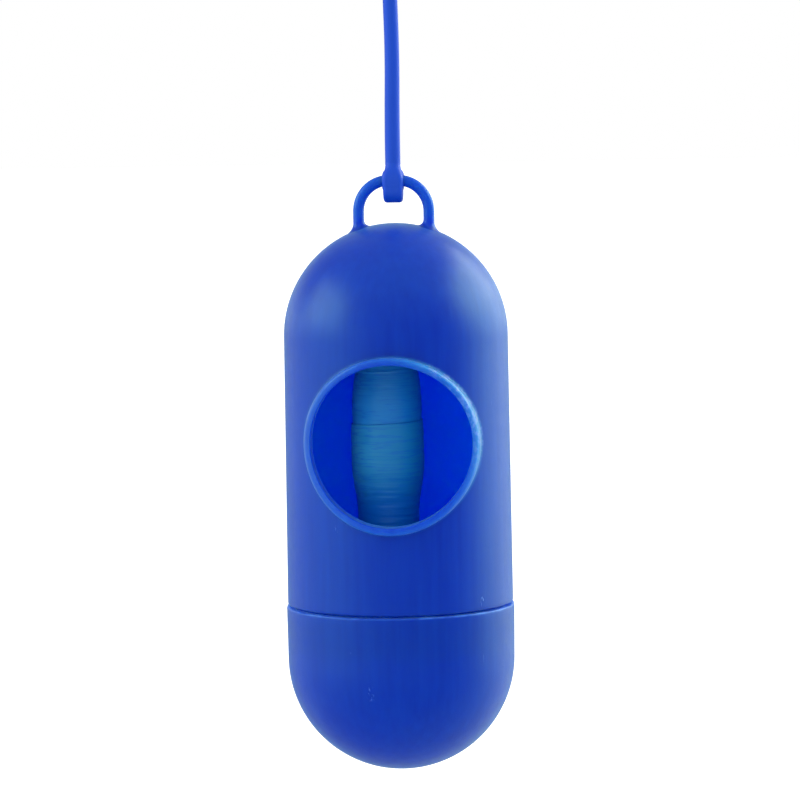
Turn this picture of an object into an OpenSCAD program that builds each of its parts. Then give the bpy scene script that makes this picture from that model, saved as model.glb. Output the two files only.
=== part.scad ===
// Pill-shaped dispenser for a roll of dog waste bags, hung on a soft moulded strap.
// Millimetres, +Z up. The window faces -Y. The origin is the centre of the strap's upper loop.

/* [Case] */
// Outer diameter of the case where its dome meets its barrel
case_d = 38.2; // [35:0.1:44]
// Height of the barrel, from the dome's centre down to the seam
barrel_h = 45.8; // [42:0.1:60]
// Growth of the case's outer radius from the dome down to the seam
case_draft = 0.2; // [0:0.05:0.5]
// Wall of the case at its dome
case_wall = 1.9; // [1.4:0.1:2.4]

/* [Window] */
// Diameter of the window's opening
window_d = 27.3; // [20:0.1:28]
// Drop of the window's centre below the dome's centre
window_drop = 17.2; // [15:0.1:20]
// Width of the raised lip round the window
lip_w = 1.25; // [0.6:0.05:1.8]
// How far the lip stands out from the case
lip_out = 1.4; // [0.5:0.1:2.5]

/* [Cap] */
// How far the cap's rim stands out from the case at the seam
cap_step = 0.2; // [0:0.05:0.6]
// Height of the cap's skirt, from the seam down to the centre of its round end
cap_skirt = 9.4; // [8:0.1:16]
// Loss of the cap's outer radius from its rim down to its round end
cap_draft = 0.1; // [0:0.05:0.4]
// Wall of the cap's round end
cap_wall = 1.9; // [1.4:0.1:2.4]
// Open line between the case and the cap
seam_gap = 0.3; // [0.1:0.05:0.6]

/* [Neck] */
// Length of the case's neck below the seam
neck_h = 7; // [4:0.1:7.4]
// Wall of the neck
neck_wall = 1; // [0.8:0.1:1.2]
// Clearance between the neck and the cap's socket, on the radius
neck_gap = 0.1; // [0.05:0.01:0.2]
// Clearance between the neck's end and the socket's floor
floor_gap = 0.3; // [0.2:0.1:0.6]

/* [Bail] */
// Thickness of the bail's round rod
rod_d = 1.9; // [1.4:0.1:3]
// Outer width of the bail
bail_w = 13.9; // [11:0.1:18]
// Height of the bail above the dome's top
bail_h = 8.2; // [7.4:0.1:14]
// Length of the straight bar at the bail's top
bar_l = 1.6; // [0.8:0.1:3]
// Growth of the rod's radius where a leg stands on the dome
foot_flare = 0.8; // [0.3:0.1:1.2]

/* [Strap] */
// Diameter of the strap's cord
cord_d = 2.6; // [2:0.1:3.4]
// Width of the strap's eye and loop, along their own bores
band_w = 3.3; // [2.6:0.1:4.5]
// Clearance between the eye's bore and the bail's bar, on the radius
eye_gap = 0.2; // [0.15:0.01:0.4]
// Wall of the eye round its bore
eye_wall = 1.05; // [0.7:0.05:1.6]
// How much lower the eye's round end reaches than its bore's own ring
eye_drop = 1.6; // [0:0.1:2.4]
// How far the eye's collar reaches past each side of the band
collar_w = 0.5; // [0.3:0.1:0.7]
// Bore of the upper loop
loop_d = 20; // [12:0.5:30]
// Wall of the upper loop
loop_wall = 2.6; // [1.8:0.1:4]
// Length of the round stub at each end of the cord
stub_l = 1.2; // [0.8:0.1:3]

/* [Bags] */
// Outer diameter of the core tube
core_d = 8.8; // [7:0.1:10]
// Wall of the core tube
core_wall = 0.8; // [0.5:0.1:1.4]
// Outer diameter of the wound film
roll_d = 12.4; // [11:0.1:24]
// Length of the roll
roll_l = 68; // [40:0.5:72]
// Thickness of the first bag's loose turn
bag_t = 0.2; // [0.1:0.05:0.5]
// Height of the first bag's loose turn
bag_h = 55.5; // [20:0.5:60]
// Clearance between the core, the wound film and the loose turn
wind_gap = 0.05; // [0.02:0.01:0.1]
// Clearance between the roll's lower end and the cap's bowl
seat_gap = 0.3; // [0.2:0.05:0.5]
// Place of the roll's axis to the right of the case's axis
roll_x = -1.6; // [-4:0.1:4]
// Place of the roll's axis behind the case's axis
roll_y = -2.2; // [-4:0.1:4]

/* [Hidden] */
$fn = 96;

// The cord's centreline, up from the eye's stub to the loop's stub, chosen by hand.
CORD_ROUTE = [[0, 0, 0], [0, 0, 3], [0.05, 0, 9], [0.15, 0.05, 15], [0.15, 0.05, 21],
    [0.05, 0, 26], [0, 0, 28.5], [0, 0, 31]];
CORD_SIDES = 8;
// Small rounds and chamfers
edge = 0.3;
band_edge = 0.5;
// Overlap that joins pieces of one moulding
bite = 0.5;
// How far a cutter runs past what it cuts
over = 1;
// How deep a leg's foot goes into the dome's wall, as a share of it, and how far its flare rises
foot_depth = 0.5;
foot_rise = 1;

// Case
case_r = case_d / 2;
seam_r = case_r + case_draft;
inner_r = case_r - case_wall;
neck_r = inner_r + neck_wall;
window_r = window_d / 2;
lip_r = window_r + lip_w;
lip_face_r = seam_r + lip_out;

// Cap
cap_r = seam_r + cap_step;
cap_ball_r = cap_r - cap_draft;
bowl_r = cap_ball_r - cap_wall;
socket_r = neck_r + neck_gap;

// Bail
rod_r = rod_d / 2;
leg_x = bail_w / 2 - rod_r;
turn_r = leg_x - bar_l / 2;

// Strap
cord_r = cord_d / 2;
cord_l = CORD_ROUTE[len(CORD_ROUTE) - 1][2] - CORD_ROUTE[0][2];
eye_bore_r = rod_r + eye_gap;
eye_r = eye_bore_r + eye_wall;
collar_x = band_w / 2 + collar_w;
// The bail's bend carries its rod this far down at the collar's face
bend_drop = turn_r - sqrt(pow(turn_r, 2) - pow(max(0, collar_x - bar_l / 2), 2));
mouth_r = eye_bore_r + bend_drop;
loop_r = loop_d / 2;
loop_face_r = loop_r + loop_wall;

// Bags
core_r = core_d / 2;
roll_r = roll_d / 2;
bag_inner_r = roll_r + wind_gap;
bag_r = bag_inner_r + bag_t;
roll_off = norm([roll_x, roll_y]);

// Heights, from the loop's centre down
cord_top_z = -loop_face_r - stub_l;
cord_z = cord_top_z - cord_l;
bar_z = cord_z - stub_l - eye_r;
apex_z = bar_z + rod_r - bail_h;
dome_z = apex_z - case_r;
turn_z = bar_z - turn_r;
foot_z = dome_z + sqrt(pow(case_r, 2) - pow(leg_x, 2)) - foot_depth * case_wall;
window_z = dome_z - window_drop;
seam_z = dome_z - barrel_h;
neck_end_z = seam_z - neck_h;
ball_z = seam_z - cap_skirt;
socket_z = neck_end_z - floor_gap;
roll_z = ball_z - sqrt(pow(bowl_r, 2) - pow(roll_off + roll_r, 2)) + seat_gap;
bag_z = ball_z - sqrt(pow(bowl_r, 2) - pow(roll_off + bag_r, 2)) + seat_gap;

// A quarter disc in the profile plane: side is 1 for the upper half and -1 for the lower.
module quarter(r, side) {
    intersection() {
        circle(r = r);
        translate([0, side < 0 ? -r : 0]) square(r);
    }
}

// A rectangle in the profile plane, from radius r0 to r1 and height z0 to z1.
module strip(r0, r1, z0, z1) {
    translate([r0, z0]) square([r1 - r0, z1 - z0]);
}

module tube(r_out, r_in, h) {
    rotate_extrude() strip(r_in, r_out, 0, h);
}

module along_x(h) {
    rotate([0, 90, 0]) translate([0, 0, -h / 2]) children();
}

// Case: dome, drafted barrel, shoulder at the seam and neck, all in one turned profile.
module case_profile() {
    difference() {
        union() {
            translate([0, dome_z]) quarter(case_r, 1);
            polygon([[0, seam_z], [seam_r - edge, seam_z], [seam_r, seam_z + edge],
                [case_r, dome_z], [0, dome_z]]);
            polygon([[0, neck_end_z], [neck_r - edge, neck_end_z], [neck_r, neck_end_z + edge],
                [neck_r, seam_z], [0, seam_z]]);
        }
        translate([0, dome_z]) quarter(inner_r, 1);
        strip(0, inner_r, neck_end_z - over, dome_z);
    }
}

// The lip follows the barrel's curve: a turned band, cut to the window's round outline.
module lip() {
    intersection() {
        translate([0, 0, window_z]) rotate([90, 0, 0]) cylinder(r = lip_r, h = lip_face_r + over);
        translate([0, 0, window_z - lip_r - over])
            tube(lip_face_r, inner_r + bite, 2 * (lip_r + over));
    }
}

module bail_turn() {
    rotate_extrude(angle = 90) translate([turn_r, 0]) circle(r = rod_r);
}

// A leg stands from inside the dome's wall up to where the bail turns.
module bail_leg() {
    leg_h = turn_z - foot_z;
    foot_h = foot_depth * case_wall + foot_rise;
    translate([0, 0, turn_z]) rotate([180, 0, 0]) cylinder(r = rod_r, h = leg_h);
    translate([0, 0, foot_z]) cylinder(r1 = rod_r + foot_flare, r2 = rod_r, h = foot_h);
}

module bail() {
    for (side = [-1, 1]) translate([side * leg_x, 0, 0]) bail_leg();
    translate([bar_l / 2, 0, turn_z]) rotate([90, 0, 0]) bail_turn();
    translate([-bar_l / 2, 0, turn_z]) rotate([90, -90, 0]) bail_turn();
    translate([0, 0, bar_z]) along_x(bar_l) cylinder(r = rod_r, h = bar_l);
}

module case_shell() {
    color("royalblue") difference() {
        union() {
            rotate_extrude() case_profile();
            lip();
            bail();
        }
        translate([0, 0, window_z]) rotate([90, 0, 0]) cylinder(r = window_r, h = lip_face_r + over);
    }
}

// Cap: socket for the neck, skirt and round end.
module cap_profile() {
    difference() {
        union() {
            translate([0, ball_z]) quarter(cap_ball_r, -1);
            polygon([[0, ball_z], [cap_ball_r, ball_z], [cap_r, seam_z - seam_gap - edge],
                [cap_r - edge, seam_z - seam_gap], [0, seam_z - seam_gap]]);
        }
        translate([0, ball_z]) quarter(bowl_r, -1);
        strip(0, bowl_r, ball_z, seam_z);
        strip(0, socket_r, socket_z, seam_z);
    }
}

module bottom_cap() {
    color("royalblue") rotate_extrude() cap_profile();
}

// Strap: eye, cord and loop.
module eye_puck() {
    along_x(band_w) cylinder(r = eye_r, h = band_w);
}

module eye_collar(side) {
    translate([side * collar_x, 0, 0]) rotate([0, -90 * side, 0])
        cylinder(r1 = mouth_r + edge, r2 = eye_r - edge, h = collar_w + bite);
}

// The bore widens outwards from the bar's straight part, because the bail bends away there.
module eye_mouth(side) {
    translate([side * collar_x, 0, 0]) rotate([0, -90 * side, 0])
        cylinder(r1 = mouth_r, r2 = eye_bore_r, h = collar_x - bar_l / 2);
}

module strap_eye() {
    bore_cut = 2 * (collar_x + over);
    color("royalblue") translate([0, 0, bar_z]) difference() {
        union() {
            eye_puck();
            translate([0, 0, -eye_drop]) eye_puck();
            translate([-band_w / 2, -eye_r, -eye_drop]) cube([band_w, 2 * eye_r, eye_drop]);
            translate([0, 0, eye_r - bite]) cylinder(r = cord_r, h = stub_l + bite);
            for (side = [-1, 1]) eye_collar(side);
        }
        along_x(bore_cut) cylinder(r = eye_bore_r, h = bore_cut);
        for (side = [-1, 1]) eye_mouth(side);
    }
}

// Rings of points round the route, each square to the route there.
function route_way(i) = let (last = len(CORD_ROUTE) - 1)
    i < 2 || i > last - 2 ? [0, 0, 1]
    : let (d = CORD_ROUTE[i + 1] - CORD_ROUTE[i - 1]) d / norm(d);
function ring_point(i, k) = let (
        way = route_way(i),
        side = cross([0, 1, 0], way) / norm(cross([0, 1, 0], way)),
        front = cross(way, side),
        turn = 360 * (k + 0.5) / CORD_SIDES)
    CORD_ROUTE[i] + cord_r * (side * cos(turn) + front * sin(turn));

module cord_tube() {
    rings = len(CORD_ROUTE);
    points = [for (i = [0:rings - 1]) for (k = [0:CORD_SIDES - 1]) ring_point(i, k)];
    walls = [for (i = [0:rings - 2]) for (k = [0:CORD_SIDES - 1]) let (
            a = i * CORD_SIDES + k,
            b = i * CORD_SIDES + (k + 1) % CORD_SIDES)
        each [[a, a + CORD_SIDES, b], [b, a + CORD_SIDES, b + CORD_SIDES]]];
    top = (rings - 1) * CORD_SIDES;
    ends = [for (k = [1:CORD_SIDES - 2]) each [[0, k, k + 1], [top, top + k + 1, top + k]]];
    polyhedron(points = points, faces = concat(walls, ends));
}

module strap_cord() {
    color("royalblue") translate([0, 0, cord_z]) cord_tube();
}

module loop_profile() {
    polygon([[loop_r, -band_w / 2 + edge], [loop_r + edge, -band_w / 2],
        [loop_face_r - band_edge, -band_w / 2], [loop_face_r, -band_w / 2 + band_edge],
        [loop_face_r, band_w / 2 - band_edge], [loop_face_r - band_edge, band_w / 2],
        [loop_r + edge, band_w / 2], [loop_r, band_w / 2 - edge]]);
}

module strap_loop() {
    color("royalblue") {
        rotate([90, 0, 0]) rotate_extrude() loop_profile();
        translate([0, 0, cord_top_z]) cylinder(r = cord_r, h = stub_l + loop_wall / 2);
    }
}

// Roll of bags, standing in the cap's bowl.
module at_roll(z) {
    translate([roll_x, roll_y, z]) children();
}

module roll_core() {
    color("tan") at_roll(roll_z) tube(core_r, core_r - core_wall, roll_l);
}

module bag_roll() {
    color("teal") at_roll(roll_z) tube(roll_r, core_r + wind_gap, roll_l);
}

module first_bag() {
    color("cadetblue") at_roll(bag_z) tube(bag_r, bag_inner_r, bag_h);
}

case_shell();
bottom_cap();
strap_eye();
strap_cord();
strap_loop();
roll_core();
bag_roll();
first_bag();
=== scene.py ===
"""Looks of a pill-shaped dispenser for dog waste bags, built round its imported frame.

Metres, +Z up, in the frame's own axes. The window faces -Y and the origin is the centre of the strap's upper loop.
Each sub-assembly is a class that holds its sizes and builds its meshes, and each finish is a class that builds one
material. Surfaces are grids of points worked out with numpy: turned profiles, profiles carried along a path, and
rings round a bore.
"""

import logging
import math
from collections.abc import Callable, Sequence
from dataclasses import dataclass, field
from enum import Enum

import bmesh
import bpy
import numpy as np
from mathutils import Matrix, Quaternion, Vector


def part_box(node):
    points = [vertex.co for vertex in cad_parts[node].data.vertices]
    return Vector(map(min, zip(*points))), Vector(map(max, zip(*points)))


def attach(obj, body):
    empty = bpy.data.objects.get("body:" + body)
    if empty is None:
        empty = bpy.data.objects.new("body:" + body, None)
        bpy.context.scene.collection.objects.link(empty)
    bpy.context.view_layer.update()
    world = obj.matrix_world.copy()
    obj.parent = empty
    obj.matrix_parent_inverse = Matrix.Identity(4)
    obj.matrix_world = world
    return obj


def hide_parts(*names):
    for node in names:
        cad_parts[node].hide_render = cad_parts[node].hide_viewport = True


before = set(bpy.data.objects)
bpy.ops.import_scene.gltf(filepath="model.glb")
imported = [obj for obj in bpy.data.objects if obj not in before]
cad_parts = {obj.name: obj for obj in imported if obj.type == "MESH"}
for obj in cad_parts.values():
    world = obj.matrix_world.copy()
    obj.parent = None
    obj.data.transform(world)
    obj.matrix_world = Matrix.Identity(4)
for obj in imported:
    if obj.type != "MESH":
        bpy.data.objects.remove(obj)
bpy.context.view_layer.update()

LOG = logging.getLogger("dispenser")

MM = 0.001
TURN = 2 * math.pi
WELD = 0.0005 * MM
SHARP = math.radians(40)

Socket = bpy.types.NodeSocket


class Body(Enum):
    """The frame's bodies that pieces ride on."""

    STRAP = "strap"
    CASE = "case"
    CAP = "cap"
    ROLL = "roll"


class Slot(Enum):
    """The record's material slots."""

    CASE = "case_blue"
    STRAP = "strap_blue"
    FILM = "bag_film"
    PAPER = "core_paper"


# Places that the frame gives

ROLL_LOW, ROLL_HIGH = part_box("bag_roll")
ROLL_AXIS = (ROLL_LOW + ROLL_HIGH) / 2
CASE_LOW, CASE_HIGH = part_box("case_shell")
CAP_LOW, CAP_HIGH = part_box("bottom_cap")
EYE_LOW, EYE_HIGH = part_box("strap_eye")
BAG_LOW, BAG_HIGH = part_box("first_bag")
DOME_Z = CASE_LOW.z + 52.8 * MM
BALL_Z = CAP_LOW.z + 19.4 * MM


# Numbers and curves


def smooth(low: float, high: float, x: np.ndarray) -> np.ndarray:
    """Rises from 0 at low to 1 at high as 3t^2 - 2t^3, and stays there outside them.

    Args:
        low: Where the rise starts.
        high: Where it ends, which may be below low.
        x: The places asked for.

    Returns:
        The share at each place.
    """
    t = np.clip((np.asarray(x, float) - low) / (high - low), 0, 1)
    return t * t * (3 - 2 * t)


def arc(centre: Sequence[float], radius: float, start: float, end: float, steps: int) -> np.ndarray:
    """Points on an arc: the centre plus radius times (cos a, sin a), with a from start to end.

    Args:
        centre: The arc's centre, two numbers.
        radius: Its radius.
        start: The first angle in degrees.
        end: The last angle in degrees.
        steps: The number of steps between them.

    Returns:
        The points, as (steps + 1, 2).
    """
    a = np.radians(np.linspace(start, end, steps + 1))
    return np.asarray(centre, float) + radius * np.stack([np.cos(a), np.sin(a)], axis=-1)


def line(start: Sequence[float], end: Sequence[float], steps: int) -> np.ndarray:
    """Points on a straight line, evenly spaced.

    Args:
        start: The first point.
        end: The last point.
        steps: The number of steps between them.

    Returns:
        The points, as (steps + 1, 2).
    """
    return np.linspace(np.asarray(start, float), np.asarray(end, float), steps + 1)


def joined(*runs: np.ndarray) -> np.ndarray:
    """One polyline from several that meet end to end, with each shared point kept once."""
    return np.concatenate([runs[0], *[run[1:] for run in runs[1:]]])


def value_noise(u: np.ndarray, v: np.ndarray, cells: tuple[int, int], seed: int) -> np.ndarray:
    """Smooth random heights that repeat once round u.

    The plane of u and v, each from 0 to 1, is cut into cells. Every cell corner has a random height, and between
    the corners the height follows 3t^2 - 2t^3 both ways.

    Args:
        u: Places round the piece.
        v: Places along the piece.
        cells: The number of cells round and along.
        seed: Seed of the random heights.

    Returns:
        Heights from -1 to 1.
    """
    heights = np.random.default_rng(seed).uniform(-1, 1, (cells[0], cells[1] + 2))
    at_u = (u % 1) * cells[0]
    at_v = np.clip(v, 0, 1) * cells[1]
    i, j = np.floor(at_u).astype(int), np.floor(at_v).astype(int)
    s, t = smooth(0, 1, at_u - i), smooth(0, 1, at_v - j)
    near, far = i % cells[0], (i + 1) % cells[0]
    low = heights[near, j] * (1 - s) + heights[far, j] * s
    high = heights[near, j + 1] * (1 - s) + heights[far, j + 1] * s
    return low * (1 - t) + high * t


# Meshes


@dataclass
class Patch:
    """A grid of points, of shape (rows, columns, 3), that becomes a sheet of quads.

    Attributes:
        points: The grid.
        round_columns: Whether the last column joins the first.
        round_rows: Whether the last row joins the first.
    """

    points: np.ndarray
    round_columns: bool = True
    round_rows: bool = False

    def corners(self) -> tuple[np.ndarray, np.ndarray]:
        """The quads' corners and their places on the piece's own map.

        The corners of quad (i, j) are the points (i, j), (i, j + 1), (i + 1, j + 1) and (i + 1, j), where the
        numbers start again from 0 past the end of a round direction.

        Returns:
            Indices into the flat list of points, as (quads, 4), and map places, as (quads, 4, 2).
        """
        rows, columns = self.points.shape[:2]
        i = np.arange(rows if self.round_rows else rows - 1)[:, None]
        j = np.arange(columns if self.round_columns else columns - 1)[None, :]
        ring = [(i, j), (i, j + 1), (i + 1, j + 1), (i + 1, j)]
        index = [(a % rows) * columns + b % columns for a, b in ring]
        place = [np.stack(np.broadcast_arrays(b / columns, a / rows), axis=-1) for a, b in ring]
        return np.stack(index, axis=-1).reshape(-1, 4), np.stack(place, axis=2).reshape(-1, 4, 2)


def make_piece(name: str, patches: Sequence[Patch], closed: bool = True) -> bpy.types.Object:
    """Makes one mesh object from patches whose shared borders are welded.

    Args:
        name: The piece's name.
        patches: The grids that make up its surface.
        closed: Whether the surface closes, so that its faces can be turned outwards.

    Returns:
        The object, at the origin, shaded smooth apart from its sharp edges.
    """
    points = np.concatenate([p.points.reshape(-1, 3) for p in patches])
    starts = np.cumsum([0] + [p.points.shape[0] * p.points.shape[1] for p in patches])
    quads, places = zip(*[p.corners() for p in patches])
    faces = np.concatenate([q + start for q, start in zip(quads, starts)])
    mesh = bpy.data.meshes.new(name)
    mesh.vertices.add(len(points))
    mesh.vertices.foreach_set("co", points.astype(np.float32).ravel())
    mesh.loops.add(faces.size)
    mesh.loops.foreach_set("vertex_index", faces.astype(np.int32).ravel())
    mesh.polygons.add(len(faces))
    mesh.polygons.foreach_set("loop_start", np.arange(0, faces.size, 4, dtype=np.int32))
    mesh.update(calc_edges=True)
    mesh.uv_layers.new(name="UVMap").uv.foreach_set("vector", np.concatenate(places).astype(np.float32).ravel())

    skin = bmesh.new()
    skin.from_mesh(mesh)
    bmesh.ops.remove_doubles(skin, verts=skin.verts, dist=WELD)
    bmesh.ops.dissolve_degenerate(skin, edges=skin.edges, dist=WELD)
    if closed:
        bmesh.ops.recalc_face_normals(skin, faces=skin.faces)
    skin.to_mesh(mesh)
    skin.free()
    mesh.shade_smooth()
    mesh.set_sharp_from_angle(angle=SHARP)
    piece = bpy.data.objects.new(name, mesh)
    bpy.context.scene.collection.objects.link(piece)
    return piece


def fused(piece: bpy.types.Object, other: bpy.types.Object) -> bpy.types.Object:
    """Fuses a second closed piece into the first, so that they become one skin, and removes the second.

    Args:
        piece: The piece that stays.
        other: The piece that goes into it.

    Returns:
        The first piece, with the new mesh.
    """
    union = piece.modifiers.new("union", "BOOLEAN")
    union.operation, union.solver, union.object = "UNION", "MANIFOLD", other
    solid = bpy.data.meshes.new_from_object(piece.evaluated_get(bpy.context.evaluated_depsgraph_get()))
    piece.modifiers.remove(union)
    solid.materials.clear()
    piece.data = solid
    bpy.data.objects.remove(other)
    solid.shade_smooth()
    solid.set_sharp_from_angle(angle=SHARP)
    return piece


def dress(piece: bpy.types.Object, body: Body, slot: Slot, skin: bpy.types.Material, *nodes: str) -> None:
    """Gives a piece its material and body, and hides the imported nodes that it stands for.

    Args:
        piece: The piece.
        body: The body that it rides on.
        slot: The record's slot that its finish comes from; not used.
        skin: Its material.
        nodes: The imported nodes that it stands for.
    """
    piece.data.materials.append(skin)
    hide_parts(*nodes)
    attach(piece, body.value)
    LOG.info("%s: %d faces, rides on %s", piece.name, len(piece.data.polygons), body.value)


def turned(profile: np.ndarray, angles: np.ndarray) -> np.ndarray:
    """Turns a profile about the z axis: a point is (r sin a, -r cos a, z), so angle 0 faces the viewer.

    Args:
        profile: Points of (radius, height).
        angles: Angles in radians.

    Returns:
        A grid with a row for each point of the profile and a column for each angle.
    """
    r, z = profile[:, :1], profile[:, 1:]
    return np.stack([r * np.sin(angles), -r * np.cos(angles), z + 0 * angles], axis=-1)


# Shader nodes


class Bench:
    """Places nodes in one tree and joins them."""

    def __init__(self, tree: bpy.types.NodeTree) -> None:
        """Takes the tree that the nodes go into."""
        self.tree = tree

    def add(self, kind: str, inputs: dict[str | int, object] | None = None, **settings: object) -> bpy.types.Node:
        """Adds a node.

        Args:
            kind: The node's type, without its ShaderNode prefix.
            inputs: Values or sockets for its inputs, by name or number.
            settings: Its own properties.

        Returns:
            The node.
        """
        node = self.tree.nodes.new(f"ShaderNode{kind}")
        for name, value in settings.items():
            setattr(node, name, value)
        for name, value in (inputs or {}).items():
            if isinstance(value, Socket):
                self.tree.links.new(value, node.inputs[name])
            else:
                node.inputs[name].default_value = value
        return node

    def math(self, operation: str, *values: object) -> Socket:
        """The result of a Math node on these values or sockets."""
        return self.add("Math", dict(enumerate(values)), operation=operation).outputs[0]

    def span(self, value: Socket, low: float, high: float, to_low: float, to_high: float) -> Socket:
        """Maps a value from one range to another, in a straight line between them."""
        names = ["Value", "From Min", "From Max", "To Min", "To Max"]
        return self.add("MapRange", dict(zip(names, [value, low, high, to_low, to_high]))).outputs[0]

    def step(self, value: Socket, low: float, high: float) -> Socket:
        """Rises from 0 at low to 1 at high with soft ends."""
        names = ["Value", "From Min", "From Max"]
        settings = {"interpolation_type": "SMOOTHSTEP"}
        return self.add("MapRange", dict(zip(names, [value, low, high])), **settings).outputs[0]

    def noise(self, place: Socket, scale: float, detail: float = 2.0, roughness: float = 0.5) -> Socket:
        """A noise value from 0 to 1, with scale in cycles a metre."""
        inputs = {"Vector": place, "Scale": scale, "Detail": detail, "Roughness": roughness}
        return self.add("TexNoise", inputs).outputs[0]

    def stretched(self, place: Socket, scale: Sequence[float], move: Sequence[float] = (0, 0, 0)) -> Socket:
        """The place moved and then scaled along each axis."""
        moved = self.add("VectorMath", {0: place, 1: move}, operation="ADD").outputs[0]
        return self.add("VectorMath", {0: moved, 1: scale}, operation="MULTIPLY").outputs[0]

    def mixed(self, share: object, first: object, second: object) -> Socket:
        """A colour between two, by share."""
        node = self.add("Mix", {0: share, 6: first, 7: second}, data_type="RGBA")
        return node.outputs[2]


def rgb(red: int, green: int, blue: int) -> tuple[float, float, float, float]:
    """The linear colour of a screen colour.

    Args:
        red: Red from 0 to 255.
        green: Green from 0 to 255.
        blue: Blue from 0 to 255.

    Returns:
        Red, green, blue and 1, each from 0 to 1: c / 12.92 below 0.04045 and ((c + 0.055) / 1.055)^2.4 above.
    """
    c = np.array([red, green, blue]) / 255
    lit = np.where(c <= 0.04045, c / 12.92, ((c + 0.055) / 1.055) ** 2.4)
    return (*[float(x) for x in lit], 1.0)


class Effect(Enum):
    """Shader groups that more than one finish uses."""

    MOULDED_SKIN = "moulded_skin"
    RUBBED = "rubbed"
    CREASED = "creased"


@dataclass(frozen=True)
class EffectSocket:
    """One input or output of a shader group.

    Attributes:
        name: Its name.
        kind: Float, Vector or Color.
        value: The default of a Float input.
    """

    name: str
    kind: str = "Float"
    value: float = 0.0


def effect_tree(effect: Effect, inputs: Sequence[EffectSocket], outputs: Sequence[str]) -> tuple[Bench, dict, Callable]:
    """Starts a shader group with its sockets.

    Args:
        effect: Which group it is.
        inputs: Its inputs.
        outputs: The names of its Float outputs.

    Returns:
        The group's bench, its inputs by name, and a function that joins a socket to an output.
    """
    tree = bpy.data.node_groups.new(effect.value, "ShaderNodeTree")
    for socket in inputs:
        made = tree.interface.new_socket(socket.name, in_out="INPUT", socket_type=f"NodeSocket{socket.kind}")
        if socket.kind == "Float":
            made.default_value = socket.value
    for name in outputs:
        tree.interface.new_socket(name, in_out="OUTPUT", socket_type="NodeSocketFloat")
    given = tree.nodes.new("NodeGroupInput").outputs
    taken = tree.nodes.new("NodeGroupOutput").inputs
    return Bench(tree), {s.name: given[s.name] for s in inputs}, lambda name, s: tree.links.new(s, taken[name])


def build_moulded_skin() -> None:
    """The skin of a satin moulding: fine spark-eroded grain, slow sink waves, and a tint that drifts and flows."""
    inputs = [EffectSocket("Place", "Vector"), EffectSocket("Grain", value=4000), EffectSocket("Depth", value=1e-5)]
    bench, given, give = effect_tree(Effect.MOULDED_SKIN, inputs, ["Height", "Tint", "Satin"])
    grain = bench.noise(given["Place"], given["Grain"], 3.0, 0.6)
    wave = bench.noise(given["Place"], 90.0, 1.0)
    slow = bench.math("MULTIPLY_ADD", wave, 2.2, bench.math("MULTIPLY", bench.noise(given["Place"], 900.0, 2.0), 0.6))
    give("Height", bench.math("MULTIPLY", bench.math("ADD", grain, slow), given["Depth"]))
    drift = bench.noise(bench.stretched(given["Place"], (1, 1, 0.45)), 75.0, 3.0, 0.55)
    flow = bench.noise(bench.stretched(given["Place"], (780, 780, 60)), 1.0, 2.0)
    give("Tint", bench.math("MULTIPLY_ADD", bench.math("SUBTRACT", flow, drift), 0.6, drift))
    give("Satin", bench.noise(given["Place"], 420.0, 4.0, 0.65))


def build_rubbed() -> None:
    """Rub marks and specks from handling: short fine scratches, and small pale specks."""
    inputs = [EffectSocket("Place", "Vector"), EffectSocket("Amount", value=0.5)]
    bench, given, give = effect_tree(Effect.RUBBED, inputs, ["Scratch", "Speck"])
    bent = bench.noise(given["Place"], 260.0, 2.0)
    long_way = bench.stretched(given["Place"], (2600, 2600, 180))
    streak = bench.noise(long_way, 1.0, 1.0)
    fine = bench.step(streak, 0.74, 0.8)
    where = bench.step(bent, 0.56, 0.68)
    give("Scratch", bench.math("MULTIPLY", bench.math("MULTIPLY", fine, where), given["Amount"]))
    cells = bench.add("TexVoronoi", {"Vector": given["Place"], "Scale": 160.0, "Randomness": 1.0}, feature="F1")
    dot = bench.step(cells.outputs["Distance"], 0.05, 0.02)
    rare = bench.step(bench.noise(given["Place"], 55.0, 0.0), 0.6, 0.7)
    give("Speck", bench.math("MULTIPLY", bench.math("MULTIPLY", dot, rare), given["Amount"]))


def build_creased() -> None:
    """Film creases: fine ridges that run round the roll, with slanting cross pleats."""
    inputs = [EffectSocket("Place", "Vector"), EffectSocket("Fine", value=1.0)]
    bench, given, give = effect_tree(Effect.CREASED, inputs, ["Height", "Tint", "Fold Shade"])
    level = bench.stretched(given["Place"], (90, 90, 1500))
    pleat = bench.add("TexNoise", {"Vector": level, "Scale": 1.0, "Detail": 3.0, "Roughness": 0.55})
    ridge = bench.math("ABSOLUTE", bench.math("SUBTRACT", pleat.outputs[0], 0.5))
    slant = bench.noise(bench.stretched(given["Place"], (420, 420, 1100)), 1.0, 2.0, 0.6)
    tall = bench.math("MULTIPLY_ADD", ridge, -2.0, slant)
    give("Height", bench.math("MULTIPLY", tall, given["Fine"]))
    give("Tint", bench.noise(bench.stretched(given["Place"], (180, 180, 260)), 1.0, 3.0, 0.6))
    # A mask along the crease lines, which the film uses for painted shade.
    give("Fold Shade", bench.step(ridge, 0.05, 0.0))


EFFECT_BUILDERS = {
    Effect.MOULDED_SKIN: build_moulded_skin,
    Effect.RUBBED: build_rubbed,
    Effect.CREASED: build_creased,
}


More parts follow.
